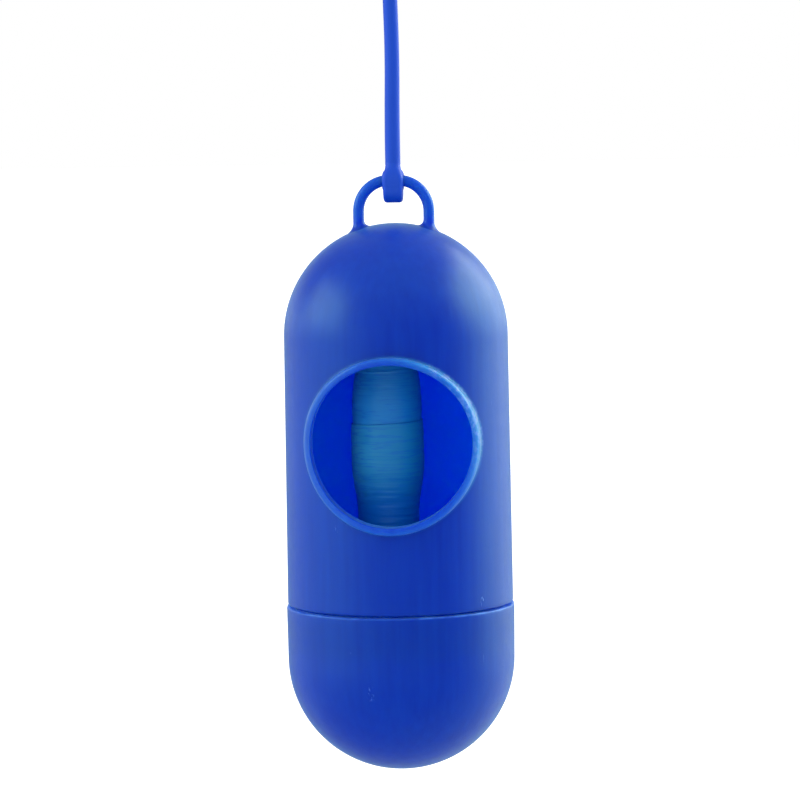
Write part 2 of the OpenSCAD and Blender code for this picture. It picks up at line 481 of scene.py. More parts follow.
class Finish:
    """What the finishes share: an empty material with its shader, and the groups placed in it."""

    name: str

    def start(self) -> tuple[bpy.types.Material, Bench, bpy.types.Node, Socket]:
        """Starts the material.

        Returns:
            The material, its bench, its shader and the piece's own coordinates.
        """
        material = bpy.data.materials.new(self.name)
        material.use_nodes = True
        material.node_tree.nodes.clear()
        bench = Bench(material.node_tree)
        shader = bench.add("BsdfPrincipled")
        bench.add("OutputMaterial", {"Surface": shader.outputs[0]})
        return material, bench, shader, bench.add("TexCoord").outputs["Object"]

    def effect(self, bench: Bench, effect: Effect, inputs: dict[str, object]) -> bpy.types.Node:
        """Places a shader group, which is built at its first use.

        Args:
            bench: The material's bench.
            effect: Which group.
            inputs: Its input values or sockets.

        Returns:
            The group node.
        """
        if effect.value not in bpy.data.node_groups:
            EFFECT_BUILDERS[effect]()
        return bench.add("Group", inputs, node_tree=bpy.data.node_groups[effect.value])


@dataclass(frozen=True)
class SatinMoulding(Finish):
    """Satin polypropylene, as it comes out of the mould.

    Attributes:
        name: The material's name.
        colour: Its colour.
        deep: Its deeper tone, where the melt flowed otherwise.
        pale: The colour of specks and scratches.
        gloss: Its roughness.
        blemishes: Centre and radius of each scuffed spot left by the mould.
        parting: Whether a parting line runs where y is 0.
        inner: Painted light: a brighter colour on the inner walls, standing in for light that comes in through the
            window and the wall.
        inner_r: Distance from the axis within which a point is inside.
        neck: Painted light: a brighter blue on faces this close to the axis, such as the neck in the seam gap, which
            lightens the gap's shade.
        neck_r: Distance from the axis within which a point gets that painted light.
        thin: Painted light: the colour of light passing through a thin rod, or None.
        rod_glow_z: Heights between which it passes to that painted colour.
        lip: Height, inner and outer radius of a lip round a window that gets painted light, or None.
        lip_painted_light: The lip's colour: painted light, lighter toward the upper right where the lamp falls, in
            patches.
        scrape_and_highlight: A paler colour in patches toward the lip's upper right: partly painted highlight, partly
            scraping by bags and fingers.
        rim: Heights between which a rim's painted highlight sets in, or None.
        rim_highlight: The colour of that painted highlight along the rim's top edge.
        milky: How far red, green and blue light travel inside it.
    """

    name: str = "case_plastic"
    colour: tuple[float, ...] = (0.001, 0.035, 0.465, 1.0)
    deep: tuple[float, ...] = (0.0, 0.019, 0.4, 1.0)
    pale: tuple[float, ...] = rgb(70, 120, 225)
    gloss: float = 0.37
    blemishes: tuple[tuple[float, float, float, float], ...] = ()
    parting: bool = True
    inner: tuple[float, ...] = (0.0, 0.32, 0.93, 1.0)
    inner_r: float = 17.6 * MM
    neck: tuple[float, ...] = (0.006, 0.1, 1.0, 1.0)
    neck_r: float = 18.9 * MM
    thin: tuple[float, ...] | None = None
    rod_glow_z: tuple[float, float] = (0.0, 0.0)
    lip: tuple[float, float, float] | None = None
    lip_painted_light: tuple[float, ...] = (0.025, 0.205, 0.55, 1.0)
    scrape_and_highlight: tuple[float, ...] = (0.15, 0.26, 0.66, 1.0)
    rim: tuple[float, float] | None = None
    rim_highlight: tuple[float, ...] = (0.035, 0.13, 0.85, 1.0)
    milky: tuple[float, float, float] = (0.5 * MM, 2.6 * MM, 6.5 * MM)

    def build(self) -> bpy.types.Material:
        """Builds the material."""
        material, bench, shader, place = self.start()
        skin = self.effect(bench, Effect.MOULDED_SKIN, {"Place": place, "Grain": 5200.0, "Depth": 1.1e-5})
        rub = self.effect(bench, Effect.RUBBED, {"Place": place, "Amount": 0.6})
        tint = bench.mixed(bench.span(skin.outputs["Tint"], 0.3, 0.7, 0, 1), self.deep, self.colour)
        axes = bench.add("SeparateXYZ", {0: place}).outputs
        past_end = bench.math("MAXIMUM", bench.math("SUBTRACT", axes[2], DOME_Z), bench.math("SUBTRACT", BALL_Z, axes[2]))
        off_axis = bench.add("CombineXYZ", {0: axes[0], 1: axes[1], 2: bench.math("MAXIMUM", past_end, 0)})
        from_axis = bench.add("VectorMath", {0: off_axis.outputs[0]}, operation="LENGTH").outputs["Value"]
        # Painted light: a brighter blue close to the axis, which lightens the seam gap round the neck.
        seam_glow_share = bench.step(from_axis, self.neck_r, self.neck_r - 0.3 * MM)
        tint = bench.mixed(seam_glow_share, tint, self.neck)
        # Painted light: faces within inner_r of the axis get the brighter inner colour.
        inside = bench.step(from_axis, self.inner_r, self.inner_r - 0.3 * MM)
        tint = bench.mixed(inside, tint, self.inner)
        # Painted light: the thin bail rod between these heights gets the colour of light passing through it.
        if self.thin:
            tint = bench.mixed(bench.step(axes[2], *self.rod_glow_z), tint, self.thin)
        marks = bench.math("MULTIPLY", bench.math("MAXIMUM", rub.outputs["Scratch"], rub.outputs["Speck"]), 0.5)
        height = skin.outputs["Height"]
        cut = bench.math("MULTIPLY", rub.outputs["Scratch"], -1.2e-5)
        height = bench.math("ADD", height, cut)
        if self.parting:
            flash = bench.step(bench.math("ABSOLUTE", axes[1]), 0.1 * MM, 0.02 * MM)
            height = bench.math("ADD", height, bench.math("MULTIPLY", flash, 2.5e-5))
        for *centre, radius in self.blemishes:
            away = bench.stretched(place, (1, 1, 0.45), tuple(-c for c in centre))
            far = bench.add("VectorMath", {0: away}, operation="LENGTH").outputs["Value"]
            spot = bench.step(far, radius, 0.35 * radius)
            flaw = bench.step(bench.noise(bench.stretched(place, (3400, 3400, 1500)), 1.0, 2.0), 0.55, 0.66)
            flaw = bench.math("MULTIPLY", spot, flaw)
            height = bench.math("ADD", height, bench.math("MULTIPLY", flaw, 9e-5))
            marks = bench.math("MAXIMUM", marks, bench.math("MULTIPLY", flaw, 0.8))
        if self.lip:
            level, near, far = self.lip
            facing = bench.stretched(place, (1, 0, 1), (0, 0, -level))
            off = bench.add("VectorMath", {0: facing}, operation="LENGTH").outputs["Value"]
            inwards = bench.step(off, near - 0.5 * MM, far - 0.1 * MM)
            band = bench.math("MULTIPLY", inwards, bench.step(off, far + 0.5 * MM, far - 0.1 * MM))
            band = bench.math("MULTIPLY", band, bench.step(axes[1], 0, -1 * MM))
            # Painted light: toward the upper right, where the lamp falls, the lip gets more of its lighter colour; worn
            # is that painted light's share, made patchy.
            towards = bench.math("MULTIPLY_ADD", bench.math("SUBTRACT", axes[2], level), 0.5, axes[0])
            worn = bench.span(bench.step(towards, 0.3 * far, 0.95 * far), 0, 1, 0.36, 1.0)
            patchy = bench.span(skin.outputs["Tint"], 0.3, 0.7, 0.8, 1.1)
            worn = bench.math("MULTIPLY", worn, patchy)
            tint = bench.mixed(bench.math("MULTIPLY", band, worn), tint, self.lip_painted_light)
            # Partly painted highlight, partly scraping: paler patches toward the lip's upper right.
            rough_patch = bench.step(bench.noise(place, 1100.0, 3.0), 0.46, 0.6)
            scrape_and_highlight = bench.math("MULTIPLY", band, bench.step(towards, 0.72 * far, 1.05 * far))
            scrape_and_highlight = bench.math("MULTIPLY", bench.math("MULTIPLY", scrape_and_highlight, rough_patch), 0.8)
            tint = bench.mixed(scrape_and_highlight, tint, self.scrape_and_highlight)
        if self.rim:
            # Painted highlight: the cap rim's top edge gets a lighter colour in patches.
            patchy = bench.step(bench.noise(place, 330.0, 2.0), 0.4, 0.62)
            edge = bench.math("MULTIPLY", bench.step(axes[2], *self.rim), bench.span(patchy, 0, 1, 0.3, 0.9))
            tint = bench.mixed(edge, tint, self.rim_highlight)
        colour = bench.mixed(marks, tint, self.pale)
        rough = bench.span(skin.outputs["Satin"], 0.3, 0.7, self.gloss - 0.035, self.gloss + 0.035)
        bump = bench.add("Bump", {"Strength": 1.0, "Distance": 1.0, "Height": height})
        ties = {"Base Color": colour, "Roughness": rough, "Normal": bump.outputs[0]}
        for socket, value in ties.items():
            bench.tree.links.new(value, shader.inputs[socket])
        shader.inputs["IOR"].default_value = 1.66
        shader.inputs["Specular Tint"].default_value = (0.44, 1.0, 0.38, 1.0)
        shader.inputs["Sheen Weight"].default_value = 0.2
        shader.inputs["Sheen Roughness"].default_value = 0.3
        shader.inputs["Sheen Tint"].default_value = (0.3, 1.0, 0.85, 1.0)
        shader.inputs["Subsurface Weight"].default_value = 1.0
        shader.inputs["Subsurface Radius"].default_value = self.milky
        shader.inputs["Subsurface Scale"].default_value = 1.0
        return material


@dataclass(frozen=True)
class SoftMoulding(Finish):
    """Soft, slightly waxy moulded strap material.

    Attributes:
        name: The material's name.
        colour: Its colour.
        worn: Its colour where it is rubbed.
    """

    name: str = "strap_plastic"
    colour: tuple[float, ...] = (0.003, 0.06, 0.59, 1.0)
    worn: tuple[float, ...] = rgb(92, 136, 228)

    def build(self) -> bpy.types.Material:
        """Builds the material."""
        material, bench, shader, place = self.start()
        skin = self.effect(bench, Effect.MOULDED_SKIN, {"Place": place, "Grain": 7000.0, "Depth": 0.8e-5})
        rub = self.effect(bench, Effect.RUBBED, {"Place": place, "Amount": 0.4})
        deep = tuple(0.88 * c for c in self.colour[:3]) + (1.0,)
        tint = bench.mixed(bench.span(skin.outputs["Tint"], 0.3, 0.7, 0, 1), deep, self.colour)
        colour = bench.mixed(bench.math("MULTIPLY", rub.outputs["Scratch"], 0.5), tint, self.worn)
        across = bench.add("SeparateXYZ", {0: place}).outputs[1]
        flash = bench.step(bench.math("ABSOLUTE", across), 0.07 * MM, 0.02 * MM)
        height = bench.math("ADD", skin.outputs["Height"], bench.math("MULTIPLY", flash, 2e-5))
        bump = bench.add("Bump", {"Strength": 1.0, "Distance": 1.0, "Height": height})
        rough = bench.span(skin.outputs["Satin"], 0.3, 0.7, 0.42, 0.5)
        ties = {"Base Color": colour, "Roughness": rough, "Normal": bump.outputs[0]}
        for socket, value in ties.items():
            bench.tree.links.new(value, shader.inputs[socket])
        shader.inputs["IOR"].default_value = 1.46
        shader.inputs["Specular Tint"].default_value = (0.6, 0.9, 1.0, 1.0)
        shader.inputs["Subsurface Weight"].default_value = 0.15
        shader.inputs["Subsurface Radius"].default_value = (0.2 * MM, 0.4 * MM, 1.2 * MM)
        shader.inputs["Subsurface Scale"].default_value = 1.0
        return material


@dataclass(frozen=True)
class BagFilm(Finish):
    """Thin wound bag film with creases and a soft sheen.

    Attributes:
        name: The material's name.
        colour: Its colour where the film lies in many layers.
        light: A lighter colour in patches at random, and painted light on the left of the roll, fading out toward its
            right.
        painted_shade: Painted shade: a darker colour toward the bottom of the window, and along the creases.
        painted_shade_z: Heights over which the painted shade gives way upwards to the other colours.
        depth: Height of the finest creases.
    """

    name: str = "wound_film"
    colour: tuple[float, ...] = (0.005, 0.2, 0.62, 1.0)
    light: tuple[float, ...] = (0.02, 0.27, 0.68, 1.0)
    painted_shade: tuple[float, ...] = (0.0, 0.13, 0.6, 1.0)
    painted_shade_z: tuple[float, float] = (-1.0, -0.9)
    depth: float = 3e-5

    def build(self) -> bpy.types.Material:
        """Builds the material."""
        material, bench, shader, place = self.start()
        crease = self.effect(bench, Effect.CREASED, {"Place": place, "Fine": self.depth})
        skin = self.effect(bench, Effect.MOULDED_SKIN, {"Place": place, "Grain": 3000.0, "Depth": 0.6e-5})
        axes = bench.add("SeparateXYZ", {0: place}).outputs
        # Painted light: the left of the roll gets more of the lighter colour, the right less.
        side = bench.step(axes[0], float(ROLL_AXIS[0]) + 1.5 * MM, float(ROLL_AXIS[0]) - 4.5 * MM)
        share = bench.math("MULTIPLY", bench.span(crease.outputs["Tint"], 0.3, 0.7, 0.35, 1.0), side)
        colour = bench.mixed(share, self.colour, self.light)
        # Painted shade: darker below the given heights.
        colour = bench.mixed(bench.step(axes[2], *self.painted_shade_z), self.painted_shade, colour)
        # Painted shade along the creases.
        colour = bench.mixed(bench.math("MULTIPLY", crease.outputs["Fold Shade"], 0.6), colour, self.painted_shade)
        height = bench.math("ADD", crease.outputs["Height"], skin.outputs["Height"])
        bump = bench.add("Bump", {"Strength": 1.0, "Distance": 1.0, "Height": height})
        rough = bench.span(skin.outputs["Satin"], 0.3, 0.7, 0.34, 0.46)
        ties = {"Base Color": colour, "Roughness": rough, "Normal": bump.outputs[0]}
        for socket, value in ties.items():
            bench.tree.links.new(value, shader.inputs[socket])
        shader.inputs["IOR"].default_value = 1.5
        shader.inputs["Specular Tint"].default_value = (0.5, 0.95, 1.0, 1.0)
        return material


@dataclass(frozen=True)
class CoreBoard(Finish):
    """Plain paper tube, wound from a strip whose edge shows as a spiral seam.

    Attributes:
        name: The material's name.
        colour: The paper's colour.
        dark: The colour of its fibres and seam.
        lead: How far the seam climbs in one turn.
    """

    name: str = "core_board"
    colour: tuple[float, ...] = rgb(196, 170, 130)
    dark: tuple[float, ...] = rgb(142, 114, 78)
    lead: float = 16 * MM

    def build(self) -> bpy.types.Material:
        """Builds the material."""
        material, bench, shader, place = self.start()
        skin = self.effect(bench, Effect.MOULDED_SKIN, {"Place": place, "Grain": 2400.0, "Depth": 3e-5})
        middle = bench.stretched(place, (1, 1, 1), (-ROLL_AXIS[0], -ROLL_AXIS[1], 0))
        axes = bench.add("SeparateXYZ", {0: middle}).outputs
        turns = bench.math("DIVIDE", bench.math("ARCTAN2", axes[1], axes[0]), TURN)
        climb = bench.math("ADD", bench.math("DIVIDE", axes[2], self.lead), turns)
        off = bench.math("ABSOLUTE", bench.math("SUBTRACT", bench.math("FRACT", climb), 0.5))
        seam = bench.step(off, 0.02, 0.006)
        fibre = bench.noise(bench.stretched(place, (500, 500, 2400)), 1.0, 4.0, 0.7)
        share = bench.math("MAXIMUM", bench.math("MULTIPLY", seam, 0.7), bench.step(fibre, 0.5, 0.75))
        height = bench.math("SUBTRACT", skin.outputs["Height"], bench.math("MULTIPLY", seam, 5e-5))
        bump = bench.add("Bump", {"Strength": 1.0, "Distance": 1.0, "Height": height})
        rough = bench.span(skin.outputs["Satin"], 0.3, 0.7, 0.8, 0.92)
        ties = {"Base Color": bench.mixed(share, self.colour, self.dark), "Roughness": rough, "Normal": bump.outputs[0]}
        for socket, value in ties.items():
            bench.tree.links.new(value, shader.inputs[socket])
        return material


# Strap


@dataclass
class BoredMoulding:
    """A flat moulding with a bore, whose outline runs out into a round stub.

    It is drawn in its own plane, with across and up from the bore's centre, and is as thick as it says on each
    side of that plane. Rings round the bore run from the bore's middle over one face to the outline, and back over
    the other face, so the surface closes both ways.

    Attributes:
        bore_r: Radius of the bore.
        bore_round: Radius of the bore's rims.
        outer_r: Radius of the round outline.
        drop: How much longer the outline is on the side away from the stub.
        side: 1 if the stub points up and -1 if it points down.
        stub_r: Radius of the stub.
        stub_end: Distance of the stub's end from the bore's centre.
        fillet: Radius of the blend between the outline and the stub.
        half_w: Half the thickness of the band.
        edge: Radius of the band's long edges.
        blend: The two distances from the centre between which the band turns into the round stub.
        boss: How far the bore's boss stands out of the band on each side.
        boss_r: The two radii between which the boss runs out, away from the stub.
        boss_stretch: How much further the boss runs out towards the stub.
        bend_r: Radius of the bend that the bore's mouth follows, or 0 for a straight bore.
        bend_start: Where the bend starts, from the middle.
        columns: The number of rays round the bore.
        rows: The number of steps over a face.
    """

    bore_r: float
    outer_r: float
    stub_end: float
    fillet: float
    blend: tuple[float, float]
    side: int = 1
    drop: float = 0.0
    stub_r: float = 1.3 * MM
    bore_round: float = 0.15 * MM
    half_w: float = 1.65 * MM
    edge: float = 0.5 * MM
    boss: float = 0.0
    boss_r: tuple[float, float] = (1.0 * MM, 2.0 * MM)
    boss_stretch: float = 1.0
    bend_r: float = 0.0
    bend_start: float = 0.0
    columns: int = 288
    rows: int = 40

    def outline(self, across: np.ndarray, up: np.ndarray) -> np.ndarray:
        """Distance from the outline, below 0 inside it.

        The body is a circle stretched away from the stub, so its distance is that to a short line, less the
        radius. The stub is a strip. The two are joined with a round fillet: the larger of the fillet and the
        smaller distance, less the length of how far each is under the fillet.

        Args:
            across: Places across the stub's axis.
            up: Places along it, towards the stub.

        Returns:
            The distances.
        """
        below = np.clip(up, -self.drop, 0)
        body = np.hypot(across, up - below) - self.outer_r
        stub = np.maximum(np.abs(across) - self.stub_r, -up)
        near = np.hypot(np.maximum(self.fillet - body, 0), np.maximum(self.fillet - stub, 0))
        return np.maximum(self.fillet, np.minimum(body, stub)) - near

    def reach(self, angle: np.ndarray) -> np.ndarray:
        """How far the outline or the stub's end is along each ray from the bore's centre, found by 40 halvings.

        Args:
            angle: The rays' angles from the across direction.

        Returns:
            The distances.
        """
        low, high = np.full_like(angle, self.bore_r), np.full_like(angle, 2 * self.stub_end)
        for _ in range(40):
            middle = (low + high) / 2
            across, up = middle * np.cos(angle), middle * np.sin(angle)
            inside = (self.outline(across, up) < 0) & (up < self.stub_end)
            low, high = np.where(inside, middle, low), np.where(inside, high, middle)
        return low

    def rays(self) -> np.ndarray:
        """Angles of the rays, closer together where the stub's two sides run: steps of one over the density."""
        corner = math.atan2(self.stub_end, self.stub_r)
        fine = np.linspace(0, TURN, 4001)
        close = [np.exp(-(((fine - at) / 0.09) ** 2)) for at in (corner, math.pi - corner)]
        density = 1 + 5 * (close[0] + close[1])
        total = np.concatenate([[0], np.cumsum((density[1:] + density[:-1]) / 2)])
        return np.interp(np.linspace(0, total[-1], self.columns + 1)[:-1], total, fine)

    def thickness(self, across: np.ndarray, up: np.ndarray) -> np.ndarray:
        """Height of the face over the plane.

        The band's edge is a quarter circle: w - e + sqrt(e^2 - (e - d)^2), where d is the distance inside the
        outline. Towards the stub both w and e become the stub's radius, which makes its section a circle.

        Args:
            across: Places across the stub's axis.
            up: Places along it.

        Returns:
            The heights.
        """
        share = smooth(*self.blend, up)
        stretch = 1 + (self.boss_stretch - 1) * smooth(0, self.boss_r[0], up)
        far = np.hypot(across, up / stretch)
        boss = self.boss * smooth(self.boss_r[1], self.boss_r[0], far)
        wide = (self.half_w + boss) * (1 - share) + self.stub_r * share
        edge = self.edge * (1 - share) + self.stub_r * share
        inside = np.clip(-self.outline(across, up), 0, edge)
        return wide - edge + np.sqrt(np.maximum(edge**2 - (edge - inside) ** 2, 0))

    def bore(self, along: np.ndarray) -> np.ndarray:
        """Radius of the bore at a distance from the middle plane, widened as a bar of bend_r bends away there."""
        if not self.bend_r:
            return np.full_like(along, self.bore_r)
        past = np.clip(along - self.bend_start, 0, self.bend_r)
        return self.bore_r + self.bend_r - np.sqrt(self.bend_r**2 - past**2)

    def surface(self) -> np.ndarray:
        """The closed grid of (across, up, along the bore), one column for each ray.

        Returns:
            The points, as (rows, columns, 3).
        """
        angle = self.rays()[None, :]
        mouth_w = self.thickness(self.bore_r * 1.3 * np.cos(angle), self.bore_r * 1.3 * np.sin(angle)).min()
        rim = arc((self.bore_round, -self.bore_round), self.bore_round, 180, 90, 5)
        tube_w = np.linspace(0, mouth_w - self.bore_round, 8)
        tube = np.stack([self.bore(tube_w) + 0 * tube_w, tube_w], axis=-1)
        rim_at = tube[-1, 0]
        inner_r = np.concatenate([tube[:, 0], rim_at + rim[1:, 0]])[:, None] + 0 * angle
        inner_w = np.concatenate([tube[:, 1], mouth_w + rim[1:, 1]])[:, None] + 0 * angle

        share = 1 - (1 - np.linspace(0, 1, self.rows + 1)[1:, None]) ** 2.4
        start = inner_r[-1:]
        face_r = start + (self.reach(angle) - start) * share
        face_w = self.thickness(face_r * np.cos(angle), face_r * np.sin(angle))
        settle = smooth(0, 0.25 * self.bore_r, face_r - start)
        face_w = mouth_w * (1 - settle) + face_w * settle
        wall = np.linspace(1, 0, 4)[1:, None]
        radius = np.concatenate([inner_r, face_r, face_r[-1:] + 0 * wall])
        height = np.concatenate([inner_w, face_w, face_w[-1:] * wall])
        radius = np.concatenate([radius, radius[-2:0:-1]])
        height = np.concatenate([height, -height[-2:0:-1]])
        return np.stack([radius * np.cos(angle), self.side * radius * np.sin(angle), height], axis=-1)


@dataclass
class Strap:
    """The soft strap: an eye round the bail's bar, a cord, and the loop that it hangs from.

    Attributes:
        skin: Its finish.
        cord_d: Diameter of the cord.
        top_d: Diameter of the cord where it leaves the view.
        stub_l: Length of the stub at each end of the cord.
        bar_r: Radius of the bail's bar.
        bar_l: Length of the bar's straight part.
        turn_r: Radius of the bail's bends.
        eye_gap: Clearance round the bar.
        route: The cord's centreline, up from the eye's stub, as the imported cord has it.
    """

    skin: SoftMoulding
    cord_d: float = 2.6 * MM
    top_d: float = 2.5 * MM
    stub_l: float = 1.2 * MM
    bar_r: float = 0.95 * MM
    bar_l: float = 1.6 * MM
    turn_r: float = 5.2 * MM
    eye_gap: float = 0.2 * MM
    route: np.ndarray = field(default_factory=lambda: MM * np.array([
        [0, 0, 0], [0, 0, 3], [0.05, 0, 9], [0.15, 0.05, 15], [0.15, 0.05, 21],
        [0.05, 0, 26], [0, 0, 28.5], [0, 0, 31]]))

    def __post_init__(self) -> None:
        """Finds the heights from the frame and builds the material."""
        self.bar_z = CASE_HIGH.z - self.bar_r
        self.cord_z = EYE_HIGH.z
        self.material = self.skin.build()

    def build_eye(self) -> bpy.types.Object:
        """Builds the eye round the bar."""
        body = BoredMoulding(
            bore_r=self.bar_r + self.eye_gap, outer_r=EYE_HIGH.y, stub_end=self.cord_z - self.bar_z,
            drop=self.bar_z - EYE_LOW.z - EYE_HIGH.y, fillet=1.2 * MM, blend=(0.3 * MM, 2.6 * MM),
            boss=0.55 * MM, boss_r=(1.15 * MM, 1.8 * MM), boss_stretch=1.15, bore_round=0.12 * MM, edge=0.62 * MM,
            bend_r=self.turn_r, bend_start=self.bar_l / 2)
        across, up, along = np.moveaxis(body.surface(), -1, 0)
        piece = make_piece("strap_eye_body", [Patch(np.stack([along, across, self.bar_z + up], -1), round_rows=True)])
        dress(piece, Body.STRAP, Slot.STRAP, self.material, "strap_eye")
        return piece

    def build_loop(self) -> bpy.types.Object:
        """Builds the upper loop."""
        low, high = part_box("strap_loop")
        body = BoredMoulding(
            bore_r=10.0 * MM, outer_r=high.z, stub_end=-low.z, side=-1, fillet=1.8 * MM,
            blend=(high.z - 0.9 * MM, -low.z), bore_round=0.3 * MM, columns=360, rows=22)
        across, up, along = np.moveaxis(body.surface(), -1, 0)
        piece = make_piece("strap_loop_band", [Patch(np.stack([across, along, up], -1), round_rows=True)])
        dress(piece, Body.STRAP, Slot.STRAP, self.material, "strap_loop")
        return piece

    def build_cord(self, *on_it: bpy.types.Object) -> bpy.types.Object:
        """Builds the cord: a circle carried along the route, a little thinner towards its top.

        The centreline runs through the route's points as a curve of piecewise cubics, found by smoothing the
        spacing between them. A ring's point is centre + r (cos a, sin a, 0), since the route is nearly upright.

        Args:
            on_it: The pieces at its two ends; not used.

        Returns:
            The cord's object.
        """
        knots = self.route[:, 2]
        slopes = np.gradient(self.route, knots, axis=0)
        slopes[[0, -1]] = (0, 0, 1)
        z = np.linspace(knots[0], knots[-1], 63)
        i = np.clip(np.searchsorted(knots, z, side="right") - 1, 0, len(knots) - 2)
        span = (knots[i + 1] - knots[i])[:, None]
        t = ((z - knots[i])[:, None]) / span
        centre = (
            (2 * t**3 - 3 * t**2 + 1) * self.route[i] + (t**3 - 2 * t**2 + t) * span * slopes[i]
            + (3 * t**2 - 2 * t**3) * self.route[i + 1] + (t**3 - t**2) * span * slopes[i + 1])
        centre = centre + np.array([0, 0, self.cord_z])
        thin = smooth(0, 0.7, (z - z[0]) / (z[-1] - z[0])) * smooth(1, 0.93, (z - z[0]) / (z[-1] - z[0]))
        radius = (self.cord_d - (self.cord_d - self.top_d) * thin) / 2
        a = np.linspace(0, TURN, 49)[:-1]
        ring = np.stack([np.cos(a), np.sin(a), 0 * a], axis=-1)
        tube = centre[:, None] + radius[:, None, None] * ring
        ends = [np.repeat(centre[k][None], len(a), 0)[None] for k in (0, -1)]
        piece = make_piece("strap_cord_run", [Patch(np.concatenate([ends[0], tube, ends[1]]))])
        dress(piece, Body.STRAP, Slot.STRAP, self.material, "strap_cord")
        return piece


# Case and cap


@dataclass
class CaseShell:
    """The upper moulding: dome, barrel, window with its lip, neck and bail.

    Attributes:
        skin: Its finish.
        dome_r: Outer radius of the dome.
        seam_r: Outer radius at the seam.
        bore_r: Inner radius.
        neck_r: Outer radius of the neck.
        barrel_h: From the dome's centre down to the seam.
        neck_h: Length of the neck.
        window_r: Radius of the window.
        window_drop: From the dome's centre down to the window's.
        lip_w: Width of the window's lip.
        lip_face_r: Distance of the lip's face from the case's axis.
        lip_round: Radius of the lip's outer edge.
        lip_inner: Radius of its inner edges.
        lip_foot: Radius of the blend at the lip's foot.
        rod_r: Radius of the bail's rod.
        leg_x: Distance of a leg from the middle.
        bar_l: Length of the bail's straight bar.
        foot: Radius of the blend at a leg's foot.
        foot_bite: How deep that blend runs into the dome.
        edge: Radius of the small outer edges.
        front: Half the angle that the window's patch takes, in radians.
    """

    skin: SatinMoulding
    dome_r: float = 19.1 * MM
    seam_r: float = 19.3 * MM
    bore_r: float = 17.2 * MM
    neck_r: float = 18.2 * MM
    barrel_h: float = 45.8 * MM
    neck_h: float = 7.0 * MM
    window_r: float = 13.65 * MM
    window_drop: float = 17.2 * MM
    lip_w: float = 1.25 * MM
    lip_face_r: float = 20.7 * MM
    lip_round: float = 0.5 * MM
    lip_inner: float = 0.28 * MM
    lip_foot: float = 0.2 * MM
    rod_r: float = 0.95 * MM
    leg_x: float = 6.0 * MM
    bar_l: float = 1.6 * MM
    foot: float = 1.35 * MM
    foot_bite: float = 0.05 * MM
    edge: float = 0.28 * MM
    front: float = math.radians(66)
    front_columns: int = 96
    back_columns: int = 158
    patch_rows: int = 70

    def __post_init__(self) -> None:
        """Finds the heights from the frame."""
        self.neck_end = CASE_LOW.z
        self.seam_z = self.neck_end + self.neck_h
        self.dome_z = self.seam_z + self.barrel_h
        self.window_z = self.dome_z - self.window_drop
        self.bar_z = CASE_HIGH.z - self.rod_r
        self.patch_top = self.dome_z - 0.7 * MM
        self.patch_low = self.window_z - self.window_r - self.lip_w - 3.0 * MM
        self.front_angles = np.linspace(-self.front, self.front, self.front_columns + 1)
        self.back_angles = np.linspace(self.front, TURN - self.front, self.back_columns + 1)
        self.patch_z = np.linspace(self.patch_low, self.patch_top, self.patch_rows + 1)

    def barrel(self, z: np.ndarray) -> np.ndarray:
        """Outer radius of the barrel, which grows in a straight line from the dome down to the seam."""
        return self.dome_r + (self.seam_r - self.dome_r) * (self.dome_z - z) / self.barrel_h

    def all_round(self) -> np.ndarray:
        """Angles of all columns, front first."""
        return np.concatenate([self.front_angles[:-1], self.back_angles[:-1]])

    def crown(self) -> Patch:
        """The dome and the barrel down to the window's patch."""
        dome = arc((0, self.dome_z), self.dome_r, 90, 0, 60)
        z = np.linspace(self.dome_z, self.patch_top, 3)
        return Patch(turned(joined(dome, np.stack([self.barrel(z), z], -1)), self.all_round()))

    def hem(self) -> Patch:
        """The barrel under the window's patch, its edge at the seam, the neck, and the bore up to the patch."""
        z = np.linspace(self.patch_low, self.seam_z + self.edge, 20)
        e, r = self.edge, 0.15 * MM
        profile = joined(
            np.stack([self.barrel(z), z], -1),
            arc((self.barrel(self.seam_z + e) - e, self.seam_z + e), e, 0, -90, 4),
            line((self.barrel(self.seam_z + e) - e, self.seam_z), (self.neck_r + r, self.seam_z), 1),
            arc((self.neck_r + r, self.seam_z - r), r, 90, 180, 3),
            line((self.neck_r, self.seam_z - r), (self.neck_r, self.neck_end + e), 6),
            arc((self.neck_r - e, self.neck_end + e), e, 0, -90, 4),
            line((self.neck_r - e, self.neck_end), (self.bore_r + r, self.neck_end), 1),
            arc((self.bore_r + r, self.neck_end + r), r, 270, 180, 3),
            line((self.bore_r, self.neck_end + r), (self.bore_r, self.patch_low), 20))
        return Patch(turned(profile, self.all_round()))

    def vault(self) -> Patch:
        """The bore from the patch's top up to the inside of the dome."""
        profile = joined(
            line((self.bore_r, self.patch_top), (self.bore_r, self.dome_z), 2),
            arc((0, self.dome_z), self.bore_r, 0, 90, 36))
        return Patch(turned(profile, self.all_round()))

    def back(self) -> list[Patch]:
        """The outer and inner walls beside and behind the window's patch."""
        outer = np.stack([self.barrel(self.patch_z), self.patch_z], -1)
        inner = np.stack([0 * self.patch_z + self.bore_r, self.patch_z], -1)
        return [Patch(turned(p, self.back_angles), round_columns=False) for p in (outer, inner)]

    def lip_section(self) -> np.ndarray:
        """The lip's section as (distance from the window's axis, height over the barrel), from outside inwards.

        A quarter circle blends the barrel into the lip's side, a rounded edge leads to the face, and another to
        the bore, which ends at the inner wall.

        Returns:
            The points.
        """
        e, i, f = self.lip_round, self.lip_inner, self.lip_foot
        out, high, low = self.window_r + self.lip_w, self.lip_face_r - self.seam_r, self.bore_r - self.seam_r
        return joined(
            arc((out + f, f), f, 270, 180, 5),
            line((out, f), (out, high - e), 2),
            arc((out - e, high - e), e, 0, 90, 7),
            line((out - e, high), (self.window_r + i, high), 3),
            arc((self.window_r + i, high - i), i, 90, 180, 5),
            line((self.window_r, high - i), (self.window_r, low + i), 7),
            arc((self.window_r + i, low + i), i, 180, 270, 4))

